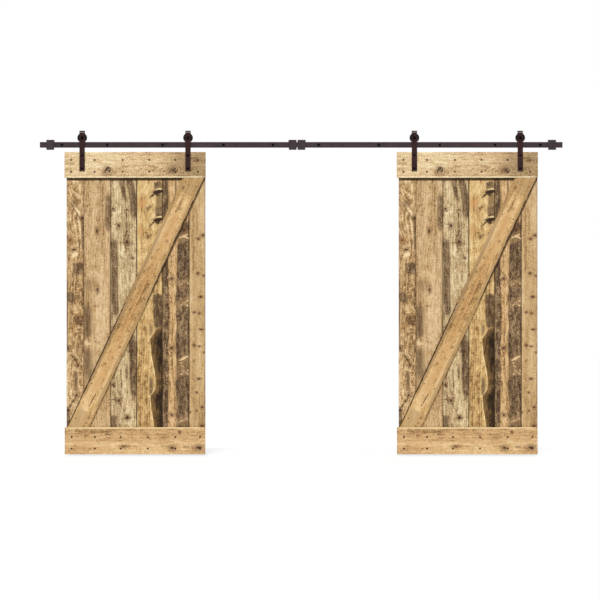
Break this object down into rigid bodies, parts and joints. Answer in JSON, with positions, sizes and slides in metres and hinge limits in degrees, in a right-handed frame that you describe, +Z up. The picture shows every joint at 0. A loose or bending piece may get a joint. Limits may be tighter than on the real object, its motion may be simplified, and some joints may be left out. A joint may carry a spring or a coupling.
{
  "type": "barn doors",
  "caption": "Barn doors of upright planks with slanting braces, rolling on bent-strap hangers along one flat wall-mounted track with stops.",
  "frame": {"origin": "on the wall's face, level with the flat bar's centre line, at the middle of the track", "axes": "+X along the track, +Y into the wall, +Z up; the doors hang in front of the wall, towards -Y"},
  "size_m": [3.66, 0.1095, 2.2663],
  "materials": {
    "bronze_rail_steel": "dark bronze powder coat, satin",
    "bronze_strap_steel": "dark bronze powder coat, satin",
    "black_wheel_steel": "near-black coat, satin",
    "black_fastener": "blackened steel",
    "bearing_steel": "ground steel",
    "black_rubbered_disc": "turned black nylon",
    "stop_rubber": "moulded rubber",
    "plank_wood": "knotty softwood, weathered and stained brown",
    "pale_board_wood": "knotty softwood, pale, clear sealed",
    "golden_board_wood": "knotty softwood, golden, clear sealed"
  },
  "bodies": {
    "track": {"rail_left": "bronze_rail_steel", "rail_right": "bronze_rail_steel", "splice_plate": "bronze_rail_steel", "splice_screws": "black_fastener", "rail_spacers": "bronze_rail_steel", "lag_screws": "black_fastener", "end_stop_left": "bronze_rail_steel", "centre_stop_left": "bronze_rail_steel", "centre_stop_right": "bronze_rail_steel", "end_stop_right": "bronze_rail_steel", "stop_bumpers": "stop_rubber", "stop_set_screws": "black_fastener"},
    "door_left": {"left_plank_1": "plank_wood", "left_plank_2": "plank_wood", "left_plank_3": "plank_wood", "left_plank_4": "plank_wood", "left_plank_5": "plank_wood", "left_plank_6": "plank_wood", "left_top_board": "pale_board_wood", "left_bottom_board": "golden_board_wood", "left_brace": "golden_board_wood", "left_wood_screws": "black_fastener", "left_outer_strap": "bronze_strap_steel", "left_inner_strap": "bronze_strap_steel", "left_axle_bolts": "black_fastener", "left_axle_nuts": "black_fastener", "left_axle_sleeves": "bearing_steel", "left_inner_races": "bearing_steel", "left_strap_bolts": "black_fastener", "left_strap_nuts": "black_fastener", "left_anti_jump_discs": "black_rubbered_disc", "left_anti_jump_screws": "black_fastener"},
    "wheel_left_outer": {"left_outer_wheel": "black_wheel_steel", "left_outer_bearing": "bearing_steel"},
    "wheel_left_inner": {"left_inner_wheel": "black_wheel_steel", "left_inner_bearing": "bearing_steel"},
    "door_right": {"right_plank_1": "plank_wood", "right_plank_2": "plank_wood", "right_plank_3": "plank_wood", "right_plank_4": "plank_wood", "right_plank_5": "plank_wood", "right_plank_6": "plank_wood", "right_top_board": "pale_board_wood", "right_bottom_board": "golden_board_wood", "right_brace": "golden_board_wood", "right_wood_screws": "black_fastener", "right_outer_strap": "bronze_strap_steel", "right_inner_strap": "bronze_strap_steel", "right_axle_bolts": "black_fastener", "right_axle_nuts": "black_fastener", "right_axle_sleeves": "bearing_steel", "right_inner_races": "bearing_steel", "right_strap_bolts": "black_fastener", "right_strap_nuts": "black_fastener", "right_anti_jump_discs": "black_rubbered_disc", "right_anti_jump_screws": "black_fastener"},
    "wheel_right_outer": {"right_outer_wheel": "black_wheel_steel", "right_outer_bearing": "bearing_steel"},
    "wheel_right_inner": {"right_inner_wheel": "black_wheel_steel", "right_inner_bearing": "bearing_steel"}
  },
  "joints": [
    {"name": "left_door_roll", "type": "slide", "parent": "track", "child": "door_left", "axis": [1, 0, 0], "range_m": [-0.163, 0.668]},
    {"name": "left_outer_wheel_turn", "type": "hinge", "parent": "door_left", "child": "wheel_left_outer", "pos_m": [-1.5335, -0.038, 0.0493], "axis": [0, 1, 0], "range_deg": [-325, 1325]},
    {"name": "left_inner_wheel_turn", "type": "hinge", "parent": "door_left", "child": "wheel_left_inner", "pos_m": [-0.7925, -0.038, 0.0493], "axis": [0, 1, 0], "range_deg": [-325, 1325]},
    {"name": "right_door_roll", "type": "slide", "parent": "track", "child": "door_right", "axis": [1, 0, 0], "range_m": [-0.668, 0.163]},
    {"name": "right_outer_wheel_turn", "type": "hinge", "parent": "door_right", "child": "wheel_right_outer", "pos_m": [1.5335, -0.038, 0.0493], "axis": [0, 1, 0], "range_deg": [-1325, 325]},
    {"name": "right_inner_wheel_turn", "type": "hinge", "parent": "door_right", "child": "wheel_right_inner", "pos_m": [0.7925, -0.038, 0.0493], "axis": [0, 1, 0], "range_deg": [-1325, 325]}
  ],
  "couplings": [
    {"joint": "left_outer_wheel_turn", "follows": "left_door_roll", "rad_per_m": 34.483},
    {"joint": "left_inner_wheel_turn", "follows": "left_door_roll", "rad_per_m": 34.483},
    {"joint": "right_outer_wheel_turn", "follows": "right_door_roll", "rad_per_m": 34.483},
    {"joint": "right_inner_wheel_turn", "follows": "right_door_roll", "rad_per_m": 34.483}
  ]
}
